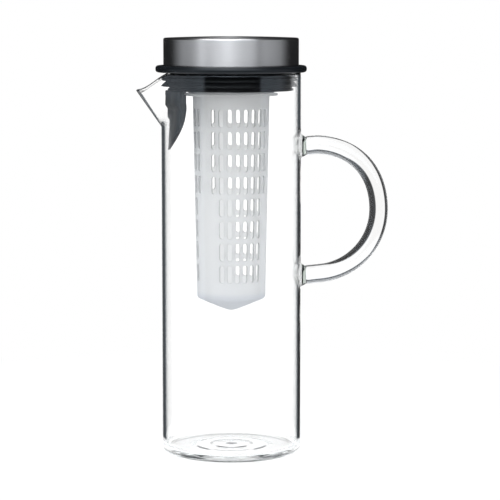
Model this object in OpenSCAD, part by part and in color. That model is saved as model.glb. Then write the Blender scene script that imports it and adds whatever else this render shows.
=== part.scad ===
// Fruit infuser pitcher: a glass jug with a rod handle, a steel-capped lid with a silicone seal,
// a shield behind the spout and a slotted infuser basket that screws up into the lid.
// The origin is on the jug's axis, on the surface that it stands on. The spout points to -X.

/* [Glass jug] */
// Outer diameter of the jug
body_d = 95; // [85:0.5:105]
// Height of the glass at its rim
glass_h = 259.6; // [250:0.1:275]
// Thickness of the wall
wall = 2.3; // [1.8:0.1:2.8]
// Thickness of the bottom
bottom_t = 4; // [3:0.1:7]
// Radius of the rounded foot
foot_round = 4; // [3:0.5:8]

/* [Spout] */
// How far the lip stands out past the wall
spout_out = 16.9; // [12:0.1:22]
// Height of the spout from its foot to the rim
spout_rise = 36.6; // [30:0.1:50]
// How far the lip lies below the rim
lip_drop = 11.1; // [7:0.1:14]
// Distance inside the wall at which the rim starts to fall
rim_start = 6.5; // [3.5:0.5:9.5]
// Softness of the fold along the spout, in degrees
fold_angle = 3; // [1:0.5:6]

/* [Handle] */
// Diameter of the glass rod
rod_d = 12.7; // [10:0.1:14]
// Radius of the bow along the middle of the rod
bow_r = 44.6; // [40:0.1:50]
// Distance from the wall to the middle of the bow
bow_out = 9; // [7:0.1:12]
// Height of the middle of the bow
bow_z = 166.9; // [150:0.1:175]
// Radius of the weld where it meets the wall
weld_r = 8.6; // [7.8:0.1:10]
// Length of the weld
weld_l = 5.2; // [4:0.1:6.5]
// Size of the bead round the weld
bead_r = 0.9; // [0.5:0.1:1.2]

/* [Lid] */
// How far the steel cap's side lies inside the jug's outer wall
cap_inset = 1.6; // [0:0.1:4]
// Height of the cap's straight side
cap_h = 18.5; // [14:0.1:24]
// Rise of the top to its middle
cap_dome = 0.9; // [0.4:0.1:3]
// Thickness of the steel
cap_t = 0.8; // [0.5:0.1:1.2]
// Radius of the rolled top edge
cap_edge = 1.2; // [1:0.1:2]
// How far the collar stands out past the jug's outer wall
collar_out = 3.8; // [2:0.1:6]
// Thickness of the collar
collar_t = 4.6; // [4:0.1:7]
// Wall of the collar's drum and of the plug
moulded_t = 2.4; // [2:0.1:3]

/* [Plug and seal] */
// Gap from the seal's sleeve to the bore, which the fins bridge
fin_space = 4; // [3.6:0.1:5]
// Depth of the plug below the collar
plug_depth = 12.2; // [11.5:0.1:14]
// Gap from the lip at the plug's lower edge to the bore
lip_space = 3; // [2.6:0.1:3.6]
// Height of that lip
plug_lip_h = 1.3; // [1:0.1:1.8]
// Thickness of the seal's sleeve
sleeve_t = 1.6; // [1:0.1:1.8]
// How far the free fins reach past the bore in the gap of the spout
fin_past = 1.5; // [0.5:0.1:3]
// Depth of the upper fin's root below the collar
fin_first = 1.2; // [0.9:0.1:1.6]
// Distance between the two fins
fin_pitch = 3.8; // [3:0.1:4]
// Droop of a fin from root to tip
fin_droop = 4.2; // [3:0.1:4.6]
// Thickness of a fin at its root
fin_root_t = 1.5; // [1:0.1:1.8]
// Thickness of a fin at its tip
fin_tip_t = 0.7; // [0.5:0.1:1]

/* [Spout shield] */
// Gap from the shield's plate to the bore
shield_space = 2.6; // [2.3:0.1:2.8]
// Thickness of the plate
shield_t = 2.2; // [1.6:0.1:3]
// Depth of its tip below the plug
shield_drop = 40.4; // [34:0.1:50]
// Half of its width, measured round the plate
shield_half = 29; // [24:0.1:34]
// How far the thick pad stands out of the plate
pad_out = 1.7; // [1:0.1:1.9]
// Height of the pad below the plug
pad_h = 9.3; // [6:0.1:14]
// Height over which the pad eases into the plate
pad_ease = 3.8; // [2:0.1:6]
// Thickness of its foot under the plug
foot_t = 1.6; // [1:0.1:2]
// Gap between the foot and the infuser's flange
foot_clear = 0.8; // [0.5:0.1:1.2]
// Radius of the pins that hold it to the plug
pin_r = 1.3; // [1:0.1:1.5]

/* [Infuser] */
// Gap from the tube, under its flange, to the bore
tube_space = 19.15; // [18.5:0.05:20.5]
// How much smaller the tube's radius is at its lower corner
tube_taper = 2.65; // [1.5:0.05:4]
// Thickness of the basket's wall
basket_t = 1.5; // [1.2:0.1:1.8]
// How far the flange stands out past the tube
flange_out = 5.65; // [4.8:0.05:6.1]
// Thickness of the flange
flange_t = 1.4; // [1:0.1:2]
// Distance from the plug to the flange
flange_gap = 2; // [1.6:0.1:3]
// Height from the flange down to the lower corner
tube_h = 136.2; // [110:0.1:150]
// Height of the cone under the tube
cone_h = 10.3; // [5:0.1:14]
// Radius of the rounded lower corner
corner_r = 2.5; // [1:0.1:3]
// Rows of slots
slot_rows = 8; // [4:1:8]
// Rows that have all their slots
full_rows = 4; // [1:1:4]
// Slots in a full row of a panel
slot_cols = 8; // [4:2:8]
// Slots left out on each side in the lower rows
short_cols = 1; // [0:1:1]
// Height of the bar between two rows
slot_bar = 3.15; // [2.5:0.05:5]
// Width of a slot
slot_w = 3.2; // [2:0.1:3.6]
// Angle between slots, in degrees
slot_angle = 12.8; // [11:0.1:13]
// Distance from the flange to the first row
slot_first = 8.6; // [6:0.1:12]
// Plain height under the last row and its bar
slot_last = 7.2; // [5:0.1:12]
// Panels of slots round the tube
panels = 3; // [1:1:3]
// Turn of the first panel, in degrees
panel_turn = -73; // [-120:1:120]

/* [Screw] */
// How much smaller the neck's radius is than the tube's
neck_step = 1.65; // [1.45:0.05:2.5]
// Height of the neck above the flange
neck_h = 10.8; // [10:0.1:11.5]
// Rise of the thread in one turn
thread_lead = 4; // [3.6:0.1:4.4]
// Turns of each thread
thread_turns = 1.25; // [1:0.05:1.3]
// Height of the ridge of a thread
thread_h = 1.1; // [0.9:0.05:1.2]
// Width of the ridge at its root
thread_w = 1.6; // [1.2:0.1:1.8]
// Width of the ridge at its crest
thread_crest = 0.8; // [0.5:0.1:1]
// Width of the gasket on the neck
gasket_w = 3; // [2.5:0.1:4]

/* [Fits] */
// Gap between the lid and the jug
lid_gap = 0.3; // [0.25:0.05:0.5]
// Gap between the seal's fins and the bore
fin_gap = 0.4; // [0.35:0.05:0.6]
// Gap between the seal and the plug, and between moulded parts that clip together
clip_gap = 0.1; // [0.05:0.01:0.1]
// Gap between the two threads across their radius
thread_gap = 0.5; // [0.4:0.05:0.6]
// Gap above and below the gasket
gasket_gap = 0.15; // [0.1:0.05:0.3]

/* [Hidden] */
$fn = 96;
over = 1;

body_r = body_d / 2;
bore_r = body_r - wall;
inner_share = bore_r / body_r;
lip_reach = body_r + spout_out;
lip_angle = acos(body_r / lip_reach);
spout_z = glass_h - spout_rise;
rim_x = body_r - rim_start;
lip_z = glass_h - lip_drop;

rod_r = rod_d / 2;
bow_x = body_r + bow_out;

collar_z = glass_h + lid_gap;
collar_r = body_r + collar_out;
collar_top = collar_z + collar_t;
cap_r = body_r - cap_inset;
cap_low = collar_top + clip_gap;
cap_top = cap_low + cap_h;
drum_r = cap_r - cap_t - clip_gap;
drum_top = cap_top - cap_t - cap_edge;
drum_floor = drum_top - moulded_t;

plug_low = collar_z - plug_depth;
plug_top = collar_z - clip_gap;
lip_top = plug_low + plug_lip_h;
seal_out = bore_r - fin_space;
seal_in = seal_out - sleeve_t;
plug_r = seal_in - clip_gap;
plug_lip_r = bore_r - lip_space;
spigot_r = plug_r - moulded_t;
clip_bead = 0.8;
spigot_in = spigot_r - moulded_t;
spigot_top = collar_top + moulded_t;
plug_floor = plug_low + moulded_t;
seal_top = plug_top - clip_gap;
seal_low = lip_top + clip_gap;
fin_cut_r = bore_r - fin_gap;
fin_reach = bore_r + fin_past;

shield_r = bore_r - shield_space;
tube_top_r = bore_r - tube_space;
tube_low_r = tube_top_r - tube_taper;
flange_r = tube_top_r + flange_out;
foot_top = plug_low - clip_gap;
foot_in = flange_r + foot_clear;
pin_hole_r = pin_r + clip_gap;
pin_head_r = 1.5 * pin_r;
pin_ring_r = spigot_r - pin_head_r - lid_gap;
pin_angle = 25;
pin_head_t = 1.2;
tip_z = plug_low - shield_drop;
pad_low = plug_low - pad_h;

flange_top = plug_low - flange_gap;
flange_low = flange_top - flange_t;
corner_z = flange_low - tube_h;
cone_low = corner_z - cone_h;
slot_top = flange_low - slot_first;
slot_rise = (tube_h - slot_first - slot_last) / slot_rows;
slot_h = slot_rise - slot_bar;
neck_top = flange_top + neck_h;
neck_r = tube_top_r - neck_step;
neck_in = neck_r - basket_t;
crest_r = neck_r + thread_h;
socket_r = crest_r + thread_gap;
socket_top = neck_top + thread_gap;
gasket_r = socket_r + gasket_w;
thread_steps = 40;
run_steps = 5;
root_sink = 0.3;
min_share = 0.1;
thread_z = neck_top - thread_turns * thread_lead - thread_w / 2;
nut_z = thread_z - thread_lead / 2;

// Ease from 0 to 1 with level ends
function ease(u) = let (c = min(1, max(0, u))) c * c * (3 - 2 * c);

// The jug's outline in plan: a circle with a wedge of tangents that meet at the reach of the spout
function reach(z) = body_r + spout_out * min(1, max(0, (z - spout_z) / (lip_z - wall / 2 - spout_z)));
function soft_turn(turn) = sqrt(turn * turn + fold_angle * fold_angle);
function wedge_angle(z) = acos(body_r / reach(z)) + fold_angle;
function plan_r(turn, z) = body_r / cos(max(0, wedge_angle(z) - soft_turn(turn)));
function rim_share(turn) = (plan_r(turn, glass_h) * cos(turn) - rim_x) / (lip_reach - rim_x);
function rim_z(turn) = glass_h - lip_drop * ease(rim_share(turn));

// Columns of the glass, closer together round the spout
spout_cols = 32;
back_cols = 40;
spout_angle = 48;
turns = concat([for (i = [0 : spout_cols - 1]) -spout_angle + 2 * spout_angle * i / spout_cols],
               [for (i = [0 : back_cols - 1]) spout_angle + (360 - 2 * spout_angle) * i / back_cols]);
function fold(turn) = turn > 180 ? turn - 360 : turn;

// One row of points of the glass: a share of the outline, at heights from the foot of the spout to the rim
function place(turn, share, z) = [-share * plan_r(fold(turn), z) * cos(turn),
                                  -share * plan_r(fold(turn), z) * sin(turn), z];
function wall_row(share, up, drop) =
    [for (turn = turns) place(turn, share, spout_z + up * (rim_z(fold(turn)) - drop - spout_z))];
function flat_row(share, z) = [for (turn = turns) place(turn, share, z)];

corner_steps = 3;
wall_steps = 9;
rim_steps = 4;
inner_round = foot_round * inner_share;
glass_rows = concat(
    [for (i = [0 : corner_steps]) let (a = 90 * i / corner_steps)
        flat_row((body_r - foot_round * (1 - sin(a))) / body_r, foot_round * (1 - cos(a)))],
    [for (i = [0 : wall_steps]) wall_row(1, i / wall_steps, wall / 2)],
    [for (i = [1 : rim_steps - 1]) let (a = 180 * i / rim_steps)
        [for (turn = turns) let (z = rim_z(fold(turn)) - wall / 2 * (1 - sin(a)))
            place(turn, 1 - (1 - inner_share) * (1 - cos(a)) / 2, z)]],
    [for (i = [wall_steps : -1 : 0]) wall_row(inner_share, i / wall_steps, wall / 2)],
    [for (i = [corner_steps : -1 : 0]) let (a = 90 * i / corner_steps)
        flat_row((bore_r - inner_round * (1 - sin(a))) / body_r, bottom_t + inner_round * (1 - cos(a)))]);

// A closed skin through rows of points, with a point in the middle of the first and last row
module skin(rows, low_middle, high_middle) {
    cols = len(rows[0]);
    count = len(rows);
    points = concat([low_middle], [for (row = rows) each row], [high_middle]);
    last = len(points) - 1;
    low = [for (j = [0 : cols - 1]) [0, 1 + j, 1 + (j + 1) % cols]];
    side = [for (i = [0 : count - 2]) for (j = [0 : cols - 1])
        let (a = 1 + i * cols + j, b = 1 + i * cols + (j + 1) % cols)
            each [[a, a + cols, b], [b, a + cols, b + cols]]];
    high = [for (j = [0 : cols - 1]) let (a = last - cols) [last, a + (j + 1) % cols, a + j]];
    polyhedron(points, concat(low, side, high));
}

// A right-hand ridge round the axis, with a root, a crest and ends that run out
module ridge(root, crest, low) {
    steps = thread_steps * thread_turns;
    rings = [for (i = [0 : steps])
        let (share = max(min_share, min(1, i / run_steps, (steps - i) / run_steps)),
             out = root + (crest - root) * share,
             turn = 360 * thread_turns * i / steps,
             z = low + thread_lead * thread_turns * i / steps,
             half = thread_w / 2, tip = half + (thread_crest / 2 - half) * share)
        [for (p = [[root, -half], [out, -tip], [out, tip], [root, half]])
            [p[0] * cos(turn), p[0] * sin(turn), z + p[1]]]];
    points = [for (ring = rings) each ring];
    last = len(points) - 4;
    side = [for (i = [0 : steps - 1]) for (j = [0 : 3])
        let (a = 4 * i + j, b = 4 * i + (j + 1) % 4) each [[a, a + 4, b], [b, a + 4, b + 4]]];
    ends = [[0, 1, 2], [0, 2, 3], [last, last + 2, last + 1], [last, last + 3, last + 2]];
    flip = crest < root;
    faces = concat(side, ends);
    polyhedron(points, [for (f = faces) flip ? f : [f[0], f[2], f[1]]]);
}

module glass_body() {
    color("lightcyan", 0.35)
        skin(glass_rows, [0, 0, 0], [0, 0, bottom_t]);
}

// The weld at an end of the handle, turned round the end of the rod, from the wall outwards
module weld(z) {
    translate([body_r, 0, z])
        rotate([0, 90, 0])
            union() {
                translate([0, 0, -over * 2])
                    cylinder(r = weld_r, h = over * 2 + wall / 2);
                translate([0, 0, wall / 2])
                    cylinder(r1 = weld_r, r2 = rod_r, h = weld_l - wall / 2);
                translate([0, 0, weld_l - bead_r * 2])
                    rotate_extrude()
                        translate([rod_r, 0])
                            circle(r = bead_r);
            }
}

module glass_handle() {
    color("lightcyan", 0.5)
        difference() {
            union() {
                translate([bow_x, 0, bow_z])
                    rotate([90, 0, 0])
                        rotate([0, 0, -90])
                            rotate_extrude(angle = 180)
                                translate([bow_r, 0])
                                    circle(r = rod_r);
                for (side = [-1, 1]) {
                    translate([body_r - over * 2, 0, bow_z + side * bow_r])
                        rotate([0, 90, 0])
                            cylinder(r = rod_r, h = bow_out + over * 2);
                    weld(bow_z + side * bow_r);
                }
            }
            cylinder(r = body_r, h = glass_h);
        }
}

// The cap: a drawn shell with a rolled edge and a slightly domed top
dome_r = (pow(cap_r - cap_edge, 2) + pow(cap_dome, 2)) / (2 * cap_dome);
dome_z = cap_top + cap_dome - dome_r;
dome_steps = 12;
edge_steps = 6;
function dome_points(radius, reach_r) = [for (i = [dome_steps : -1 : 0])
    let (x = reach_r * i / dome_steps) [x, dome_z + sqrt(radius * radius - x * x)]];
function edge_points(radius) = [for (i = [0 : edge_steps - 1]) let (a = 90 * i / edge_steps)
    [cap_r - cap_edge + radius * cos(a), cap_top - cap_edge + radius * sin(a)]];

module steel_cap() {
    color("silver")
        rotate_extrude()
            polygon(concat(
                [[cap_r - cap_t, cap_low], [cap_r, cap_low]],
                edge_points(cap_edge),
                dome_points(dome_r, cap_r - cap_edge),
                [for (i = [0 : dome_steps]) dome_points(dome_r - cap_t, cap_r - cap_edge)[dome_steps - i]],
                [for (i = [0 : edge_steps - 1]) edge_points(cap_edge - cap_t)[edge_steps - 1 - i]]));
}

// The collar: a ring with a rounded edge, and a drum that fills the cap
module lid_collar() {
    color([0.1, 0.1, 0.11])
        rotate_extrude()
            union() {
                translate([spigot_r + clip_gap, collar_z])
                    square([collar_r - collar_t / 2 - spigot_r - clip_gap, collar_t]);
                translate([collar_r - collar_t / 2, collar_z + collar_t / 2])
                    circle(r = collar_t / 2);
                translate([drum_r - moulded_t, collar_z + collar_t / 2])
                    square([moulded_t, drum_top - collar_z - collar_t / 2]);
                translate([0, drum_floor])
                    square([drum_r - moulded_t / 2, moulded_t]);
            }
}

// The plug: a cup with a lip for the seal, a spigot that clips into the collar and a socket for the screw
module plug_core() {
    color([0.2, 0.21, 0.23])
        union() {
            difference() {
                rotate_extrude()
                    polygon([[socket_r, plug_low], [plug_lip_r, plug_low], [plug_lip_r, lip_top],
                             [plug_r, lip_top], [plug_r, plug_top], [spigot_r, plug_top],
                             [spigot_r, collar_top + clip_gap], [spigot_r + clip_bead, collar_top + clip_gap],
                             [spigot_r, spigot_top], [spigot_in, spigot_top],
                             [spigot_in, plug_top - moulded_t], [spigot_r, plug_top - moulded_t],
                             [spigot_r, plug_floor], [socket_r + moulded_t, plug_floor],
                             [socket_r + moulded_t, socket_top + moulded_t], [0, socket_top + moulded_t],
                             [0, socket_top], [socket_r, socket_top]]);
                for (side = [-1, 1])
                    pin_place(side)
                        translate([0, 0, plug_low - over])
                            cylinder(r = pin_hole_r, h = moulded_t + over * 2);
            }
            ridge(socket_r + root_sink, socket_r - thread_h, nut_z);
        }
}

module pin_place(side) {
    rotate([0, 0, 180 + side * pin_angle])
        translate([pin_ring_r, 0, 0])
            children();
}

// The seal: a sleeve with two drooping fins, cut to the bore except in the gap of the spout
function fin_points(root_z) = [
    [seal_out, root_z - fin_root_t / 2],
    [fin_reach, root_z - fin_droop - fin_tip_t / 2],
    [fin_reach, root_z - fin_droop + fin_tip_t / 2],
    [seal_out, root_z + fin_root_t / 2]];

module silicone_seal() {
    color([0.24, 0.25, 0.27])
        intersection() {
            rotate_extrude()
                polygon(concat([[seal_in, seal_top], [seal_in, seal_low], [seal_out, seal_low]],
                               fin_points(collar_z - fin_first - fin_pitch),
                               fin_points(collar_z - fin_first),
                               [[seal_out, seal_top]]));
            translate([0, 0, seal_low - over])
                union() {
                    cylinder(r = fin_cut_r, h = seal_top - seal_low + over * 2);
                    linear_extrude(seal_top - seal_low + over * 2)
                        polygon([[0, 0], fin_cut_r * [-cos(lip_angle), sin(lip_angle)],
                                 [-fin_cut_r / cos(lip_angle), 0],
                                 fin_cut_r * [-cos(lip_angle), -sin(lip_angle)]]);
                }
        }
}

// The shield: a curved tongue that hangs from the plug, thick at its top, with a rounded lower end
shield_steps = 24;
function round_plate(s) = shield_r * sin(s / shield_r * 180 / PI);
tongue_points = concat(
    [[round_plate(shield_half), lip_top + over], [-round_plate(shield_half), lip_top + over]],
    [for (i = [0 : shield_steps]) let (a = 180 * i / shield_steps)
        [-round_plate(shield_half * cos(a)), tip_z + shield_half * (1 - sin(a))]]);

module spout_shield() {
    color([0.28, 0.3, 0.31])
        union() {
            intersection() {
                rotate_extrude()
                    polygon([[shield_r - shield_t, tip_z - over], [shield_r, tip_z - over],
                             [shield_r, pad_low - pad_ease], [shield_r + pad_out, pad_low],
                             [shield_r + pad_out, lip_top - clip_gap / 2],
                             [shield_r + pad_out - clip_gap, lip_top], [plug_lip_r + clip_gap, lip_top],
                             [plug_lip_r + clip_gap, foot_top], [foot_in, foot_top],
                             [foot_in, foot_top - foot_t], [shield_r - shield_t, foot_top - foot_t]]);
                rotate([90, 0, -90])
                    linear_extrude(body_r)
                        polygon(tongue_points);
            }
            for (side = [-1, 1])
                pin_place(side) {
                    translate([0, 0, foot_top - foot_t / 2])
                        cylinder(r = pin_r, h = foot_t / 2 + moulded_t + clip_gap * 2 + pin_head_t / 2);
                    translate([0, 0, plug_floor + clip_gap])
                        cylinder(r1 = pin_head_r, r2 = pin_r, h = pin_head_t);
                }
        }
}

module infuser_gasket() {
    color([0.9, 0.9, 0.9])
        translate([0, 0, flange_top + gasket_gap])
            difference() {
                cylinder(r = gasket_r, h = flange_gap - gasket_gap * 2);
                translate([0, 0, -over])
                    cylinder(r = socket_r, h = flange_gap + over * 2);
            }
}

// The profile of the basket: a tapered tube with a rounded corner and a shallow cone under it
cone_angle = atan(cone_h / tube_low_r);
corner_x = tube_low_r - corner_r;
low_steps = 6;
function low_points(shift) = concat(
    [for (i = [0 : low_steps]) let (a = -(90 - cone_angle) * i / low_steps)
        [corner_x + (corner_r - shift) * cos(a), corner_z + (corner_r - shift) * sin(a)]],
    [[0, cone_low + shift / cos(cone_angle)]]);

function slot_count(row) = row < full_rows ? slot_cols : slot_cols - 2 * short_cols;

module slot() {
    rotate([90, 0, 90])
        linear_extrude(tube_top_r + over)
            union() {
                translate([-slot_w / 2, -slot_h + slot_w / 2])
                    square([slot_w, slot_h - slot_w]);
                translate([0, -slot_w / 2])
                    circle(r = slot_w / 2);
                translate([0, -slot_h + slot_w / 2])
                    circle(r = slot_w / 2);
            }
}

module infuser_basket() {
    color([0.88, 0.89, 0.9])
        union() {
            difference() {
                rotate_extrude()
                    polygon(concat(
                        [[neck_in, neck_top], [neck_r, neck_top], [neck_r, flange_top],
                         [flange_r, flange_top], [flange_r, flange_low], [tube_top_r, flange_low]],
                        low_points(0),
                        [for (i = [0 : low_steps + 1]) low_points(basket_t)[low_steps + 1 - i]],
                        [[tube_top_r - basket_t, flange_low], [neck_in, flange_top]]));
                for (panel = [0 : panels - 1])
                    for (row = [0 : slot_rows - 1])
                        for (i = [0 : slot_count(row) - 1])
                            rotate([0, 0, panel_turn + panel * 360 / panels])
                                rotate([0, 0, (i - (slot_count(row) - 1) / 2) * slot_angle])
                                    translate([tube_low_r / 2, 0, slot_top - row * slot_rise])
                                        slot();
            }
            ridge(neck_r - root_sink, crest_r, thread_z);
        }
}

glass_body();
glass_handle();
steel_cap();
lid_collar();
plug_core();
silicone_seal();
spout_shield();
infuser_gasket();
infuser_basket();
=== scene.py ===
"""Fruit infuser pitcher: the glass jug, its lid and the infuser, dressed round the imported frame."""
import math

import bmesh
import bpy
import numpy as np
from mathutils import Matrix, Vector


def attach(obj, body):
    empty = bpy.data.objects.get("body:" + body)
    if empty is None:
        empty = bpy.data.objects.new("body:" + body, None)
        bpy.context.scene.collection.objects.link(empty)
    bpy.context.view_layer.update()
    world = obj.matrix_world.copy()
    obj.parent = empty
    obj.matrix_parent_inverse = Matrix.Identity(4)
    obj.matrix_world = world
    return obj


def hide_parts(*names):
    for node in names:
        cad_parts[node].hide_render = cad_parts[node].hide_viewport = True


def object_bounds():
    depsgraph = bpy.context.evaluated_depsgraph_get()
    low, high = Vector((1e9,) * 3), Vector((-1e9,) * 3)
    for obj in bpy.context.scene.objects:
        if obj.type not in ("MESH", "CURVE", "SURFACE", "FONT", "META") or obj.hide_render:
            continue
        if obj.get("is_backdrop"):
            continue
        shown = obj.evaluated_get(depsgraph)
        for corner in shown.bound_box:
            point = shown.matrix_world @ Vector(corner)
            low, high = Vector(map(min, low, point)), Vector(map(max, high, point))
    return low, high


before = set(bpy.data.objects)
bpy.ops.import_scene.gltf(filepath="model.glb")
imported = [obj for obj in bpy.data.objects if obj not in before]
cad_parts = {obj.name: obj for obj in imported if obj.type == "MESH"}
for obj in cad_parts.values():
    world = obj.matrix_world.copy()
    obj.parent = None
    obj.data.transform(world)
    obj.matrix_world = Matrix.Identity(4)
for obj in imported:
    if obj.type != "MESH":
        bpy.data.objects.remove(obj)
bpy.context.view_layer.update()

# Camera
# It stands a metre and a half off with a long lens, a little above the lid, and looks slightly down.
# Sizes in this file are in millimetres, and mm turns them into the frame's metres.
mm = 0.001
camera_place = (12.8, -1455.7, 305.5)
camera_lens = 154.2
camera_down = 6.543
camera_sensor = 36.0
camera_sees = (0.05, 50.0)
light_bounces = 24

camera_data = bpy.data.cameras.new("camera")
camera_data.lens = camera_lens
camera_data.sensor_width = camera_sensor
camera_data.clip_start, camera_data.clip_end = camera_sees
camera = bpy.data.objects.new("camera", camera_data)
bpy.context.collection.objects.link(camera)
camera.location = [v * mm for v in camera_place]
camera.rotation_euler = (math.radians(90.0 - camera_down), 0.0, 0.0)
bpy.context.scene.camera = camera
bpy.context.scene.view_settings.view_transform = "Standard"
bpy.context.scene.cycles.max_bounces = light_bounces
bpy.context.scene.cycles.transmission_bounces = light_bounces
bpy.context.scene.cycles.transparent_max_bounces = light_bounces


def node(tree, kind, place=None, **values):
    """A node of the given kind, with its properties set from the keywords and its sockets from place."""
    made = tree.nodes.new(kind)
    for name, value in values.items():
        setattr(made, name, value)
    for name, value in (place or {}).items():
        if isinstance(value, bpy.types.NodeSocket):
            tree.links.new(value, made.inputs[name])
        else:
            made.inputs[name].default_value = value
    return made


def maths(tree, operation, *values):
    """The result of one Math node on sockets or plain numbers."""
    return node(tree, "ShaderNodeMath", dict(enumerate(values)), operation=operation).outputs[0]


def ramp(tree, value, stops):
    """A colour ramp on a value, with grey levels or colours at the given places."""
    made = node(tree, "ShaderNodeValToRGB", {"Fac": value})
    elements = made.color_ramp.elements
    while len(elements) < len(stops):
        elements.new(0.5)
    for element, (place, level) in zip(elements, stops):
        element.position = place
        element.color = (*level, 1.0) if isinstance(level, tuple) else (level, level, level, 1.0)
    return made.outputs["Color"]


# Studio light
# Grey soft boxes stand at both sides, a large bright one hangs in front, and a white sheet closes the back.
# Matt surfaces are lit from the front and, more strongly, from behind. The camera and what passes both walls
# of the jug see plain white. Light turned round inside a wall sees the dark, and light bent by a solid edge
# or by the rod sees past the sheet's sides and top.

# Brightness by the angle round the jug, in degrees from the camera's side
side_boxes = ((-180, 0.02), (-118, 0.02), (-104, 0.25), (-90, 0.6), (-60, 0.6), (-48, 0.75), (-42, 0.02),
              (48, 0.02), (53, 0.7), (90, 0.55), (102, 0.25), (114, 0.02), (180, 0.02))
high_box = ((-180, 0.02), (-98, 0.02), (-80, 0.05), (-66, 0.3), (-55, 1.4), (-33, 2.1), (-19, 2.5),
            (-5, 3.2), (8, 2.4), (22, 1.9), (37, 1.9), (45, 1.5), (50, 0.1), (67, 0.25), (85, 0.08),
            (100, 0.02), (180, 0.02))
sheet_sides = ((-180, 1.0), (-167, 1.0), (-161, 0.12), (-146, 0.12), (-140, 0.8), (-126, 0.8), (-118, 0.3),
               (-100, 0.3), (-94, 0.0), (94, 0.0), (100, 0.1), (116, 0.2), (124, 1.0), (142, 1.0),
               (147, 0.1), (161, 0.1), (167, 1.0), (180, 1.0))
edge_dark = ((-180, 1.0), (-140, 1.0), (-134, 0.0), (134, 0.0), (140, 1.0), (180, 1.0))
far_room = ((-180, 0.02), (-95, 0.02), (-60, 0.2), (-40, 0.35), (40, 0.35), (60, 0.2), (95, 0.02),
            (180, 0.02))
soft_light = ((-180, 3.3), (-151, 3.3), (-140, 0.2), (-75, 0.15), (-58, 1.2), (58, 1.2), (75, 0.12),
              (140, 0.15), (151, 3.3), (180, 3.3))
white_sheet = ((-180, 1.0), (-154, 1.0), (-151, 0.05), (-104, 0.05), (-98, 1.0), (98, 1.0), (104, 0.05),
               (164, 0.05), (167, 1.0), (180, 1.0))

# Heights in degrees above the horizon, where one ring of boxes gives way to the next
high_from = (3.0, 8.0)
ceiling_from = (52.0, 75.0)
ground_to = (-22.0, -14.0)
sheet_top = (16.0, 18.0)
over_sheet_from = (23.0, 28.0)
sheet_foot = (-54.0, -46.0)
edge_dark_to = (0.0, 2.0)

over_sheet = 0.25
past_sheet = 0.06
box_tint = (0.97, 1.0, 1.045)
wall_dark = (0.045, 0.058, 0.07)
ramp_top = 4.0
made_up = 1.3

# Counts of surfaces passed: at least one turn, at most two passes, and all four sides of the walls
any_turn = 0.5
few_passes = 2.5
all_passes = 3.5

lamp_place = (-150, -250, 1100)
lamp_aim = (0, 0, 150)
lamp_size = (900, 900)
lamp_power = 5.0

world = bpy.data.worlds.new("studio")
world.use_nodes = True
bpy.context.scene.world = world
tree = world.node_tree
tree.nodes.clear()
direction = node(tree, "ShaderNodeSeparateXYZ", {0: node(tree, "ShaderNodeTexCoord").outputs["Generated"]})
across, along, up = direction.outputs
turn = maths(tree, "ARCTAN2", across, maths(tree, "MULTIPLY", along, -1.0))
turn = maths(tree, "MULTIPLY_ADD", turn, 0.5 / math.pi, 0.5)
height = maths(tree, "MULTIPLY", maths(tree, "ARCSINE", up), 180.0 / math.pi)


def box_ramp(stops):
    """The brightness of a ring of boxes by the angle round the jug, in degrees from the camera's side."""
    return ramp(tree, turn, [(angle / 360.0 + 0.5, level / ramp_top) for angle, level in stops])


def fade(low, high):
    """A smooth step of the height above the horizon, in degrees."""
    step = node(tree, "ShaderNodeMapRange", {"Value": height, "From Min": low, "From Max": high},
                interpolation_type="SMOOTHSTEP")
    return step.outputs["Result"]


def mixed(share, first, second):
    """The mix of two colours by a share."""
    made = node(tree, "ShaderNodeMix", data_type="RGBA")
    sockets = [s for s in made.inputs if s.enabled]
    for socket, value in zip(sockets, (share, first, second)):
        if isinstance(value, bpy.types.NodeSocket):
            tree.links.new(value, socket)
        else:
            socket.default_value = value
    return [s for s in made.outputs if s.enabled][0]


def grey(level):
    """A plain colour of one level."""
    return [level] * 3 + [1.0]


boxes = mixed(fade(*high_from), box_ramp(side_boxes), box_ramp(high_box))
boxes = mixed(fade(*ceiling_from), boxes, box_ramp(far_room))
boxes = mixed(fade(*ground_to), box_ramp(far_room), boxes)
boxes = node(tree, "ShaderNodeVectorMath", {0: boxes, 1: box_tint}, operation="MULTIPLY").outputs[0]
path = node(tree, "ShaderNodeLightPath").outputs
wide = node(tree, "ShaderNodeVectorMath", {0: boxes, 1: box_ramp(sheet_sides)},
            operation="MAXIMUM").outputs[0]
boxes = mixed(path["Is Singular Ray"], boxes, wide)
boxes = mixed(path["Is Diffuse Ray"], boxes, box_ramp(soft_light))
bent = mixed(fade(*sheet_top), box_ramp(white_sheet), grey(past_sheet / ramp_top))
bent = mixed(fade(*over_sheet_from), bent, grey(over_sheet / ramp_top))
bent = mixed(fade(*sheet_foot), grey(past_sheet / ramp_top), bent)
turned = maths(tree, "GREATER_THAN", path["Glossy Depth"], any_turn)
few = maths(tree, "LESS_THAN", path["Transmission Depth"], few_passes)
through = path["Is Transmission Ray"]
straight = maths(tree, "MULTIPLY", through, maths(tree, "SUBTRACT", 1.0, turned))
in_rod = maths(tree, "MULTIPLY", straight, few)
in_wall = maths(tree, "MULTIPLY", turned, through)
fading = maths(tree, "MULTIPLY", fade(*edge_dark_to), ramp_top)
at_edge = maths(tree, "MULTIPLY", box_ramp(edge_dark), maths(tree, "SUBTRACT", ramp_top, fading))
in_wall = maths(tree, "MULTIPLY", in_wall, at_edge)
seen = maths(tree, "MAXIMUM", path["Is Camera Ray"], maths(tree, "SUBTRACT", straight, in_rod))
light = mixed(in_rod, boxes, bent)
light = node(tree, "ShaderNodeVectorMath", {0: light, 1: (ramp_top,) * 3}, operation="MULTIPLY").outputs[0]
light = mixed(in_wall, light, (*wall_dark, 1.0))
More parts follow.
